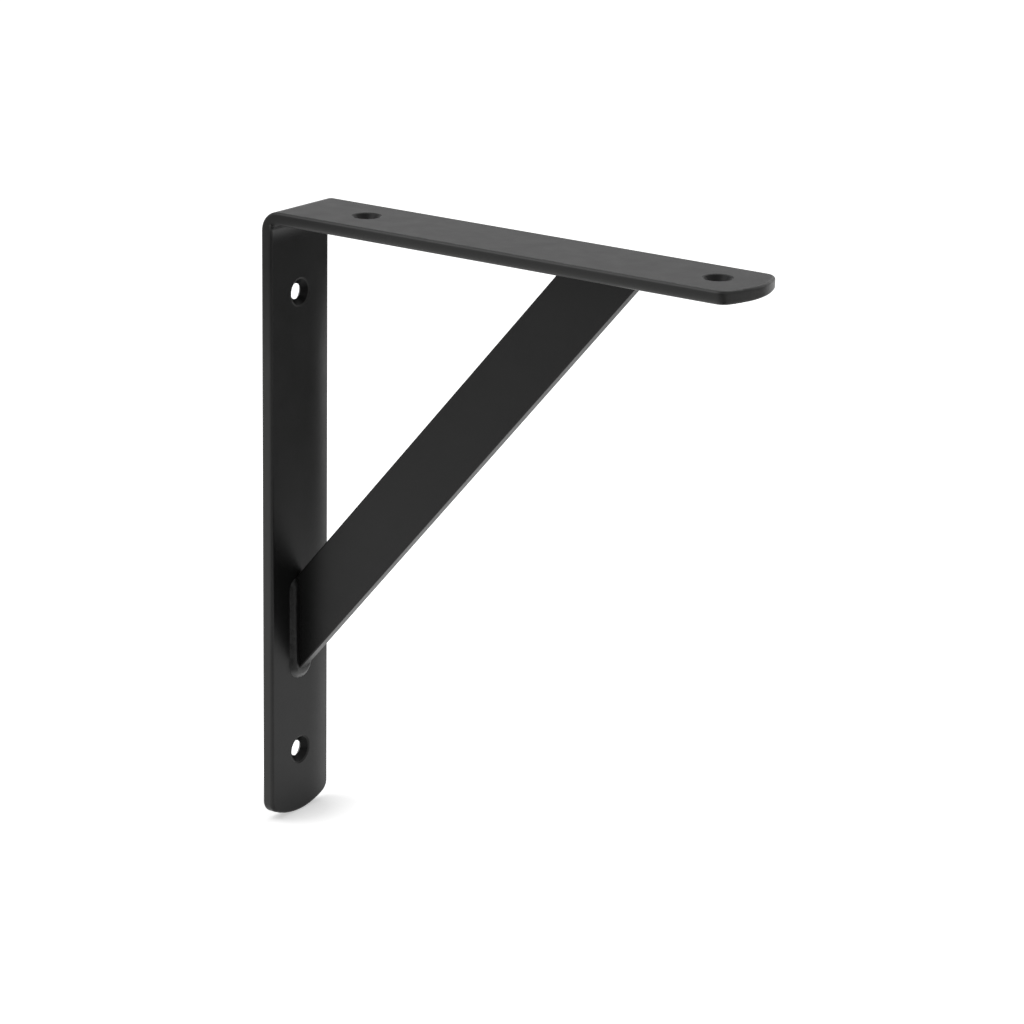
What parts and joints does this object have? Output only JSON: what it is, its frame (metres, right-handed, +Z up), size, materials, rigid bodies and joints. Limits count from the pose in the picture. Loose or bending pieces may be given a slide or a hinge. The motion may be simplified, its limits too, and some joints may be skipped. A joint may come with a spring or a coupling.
{
  "type": "shelf bracket",
  "caption": "Right-angled shelf bracket of bent flat bar, stiffened by a diagonal bar welded across the corner, with countersunk screw holes in both arms.",
  "frame": {"origin": "on the wall face of the leg, midway between the wall screws", "axes": "+X out from the wall along the arm, +Y across the bar, +Z up towards the shelf"},
  "size_m": [0.15, 0.025, 0.1754],
  "materials": {
    "powder_coat": "satin black powder coat over the welded steel"
  },
  "bodies": {
    "root": {"angle_bar": "powder_coat", "brace_bar": "powder_coat", "wall_weld": "powder_coat", "shelf_weld": "powder_coat"}
  },
  "joints": []
}
